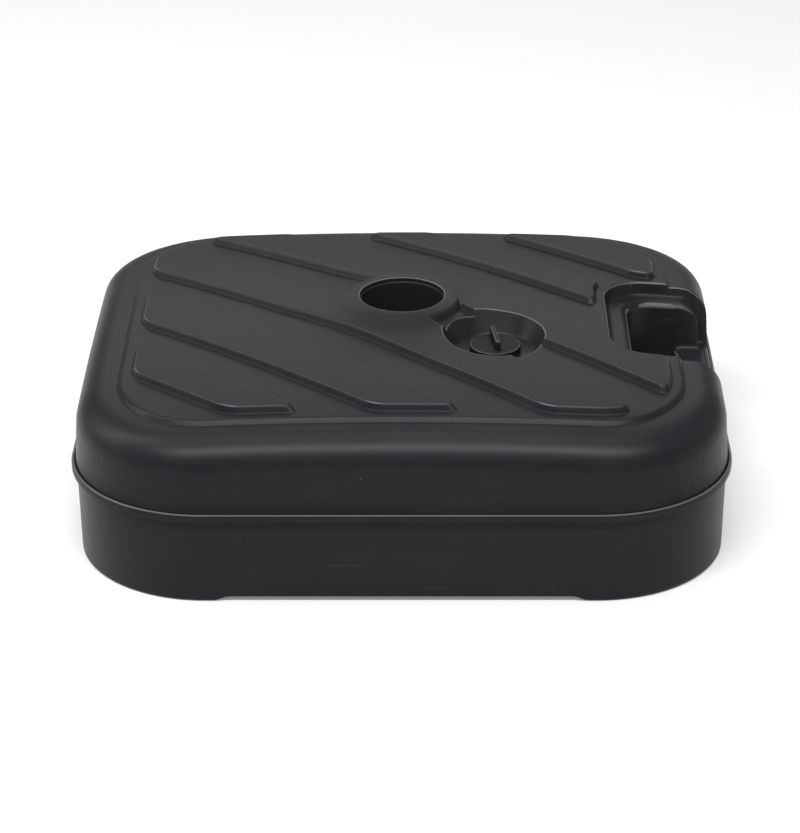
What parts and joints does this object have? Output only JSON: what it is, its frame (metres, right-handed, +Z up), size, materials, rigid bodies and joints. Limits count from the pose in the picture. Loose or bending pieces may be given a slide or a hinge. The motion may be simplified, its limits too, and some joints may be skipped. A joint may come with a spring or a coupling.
{
  "type": "parasol base",
  "caption": "Low fillable base with a rounded rectangular tank, a blind central pole socket, a recessed screw cap and a hand grip in one side.",
  "frame": {"origin": "on the ground, at the middle of the base's outline, under the pole", "axes": "+Z up out of the pole socket, +X towards the hand grip, +Y to the rear"},
  "size_m": [0.47, 0.402, 0.1477],
  "materials": {
    "shell": "fine-grained matte black moulded plastic",
    "socket": "fine-grained matte black moulded plastic",
    "cap": "smooth satin black moulded plastic",
    "seal": "smooth matt rubber"
  },
  "bodies": {
    "base": {"upper_shell": "shell", "lower_shell": "shell", "pole_socket": "socket"},
    "seal": {"cap_seal": "seal"},
    "cap": {"filler_cap": "cap"}
  },
  "joints": [
    {"name": "cap_lift", "type": "slide", "parent": "base", "child": "seal", "axis": [0, 0, 1], "range_m": [0, 0.012]},
    {"name": "cap_turn", "type": "hinge", "parent": "seal", "child": "cap", "pos_m": [0.0673, -0.05, 0.127], "axis": [0, 0, 1], "range_deg": [0, 1080]}
  ],
  "couplings": [
    {"joint": "cap_lift", "follows": "cap_turn", "m_per_rad": 0.00063662}
  ]
}
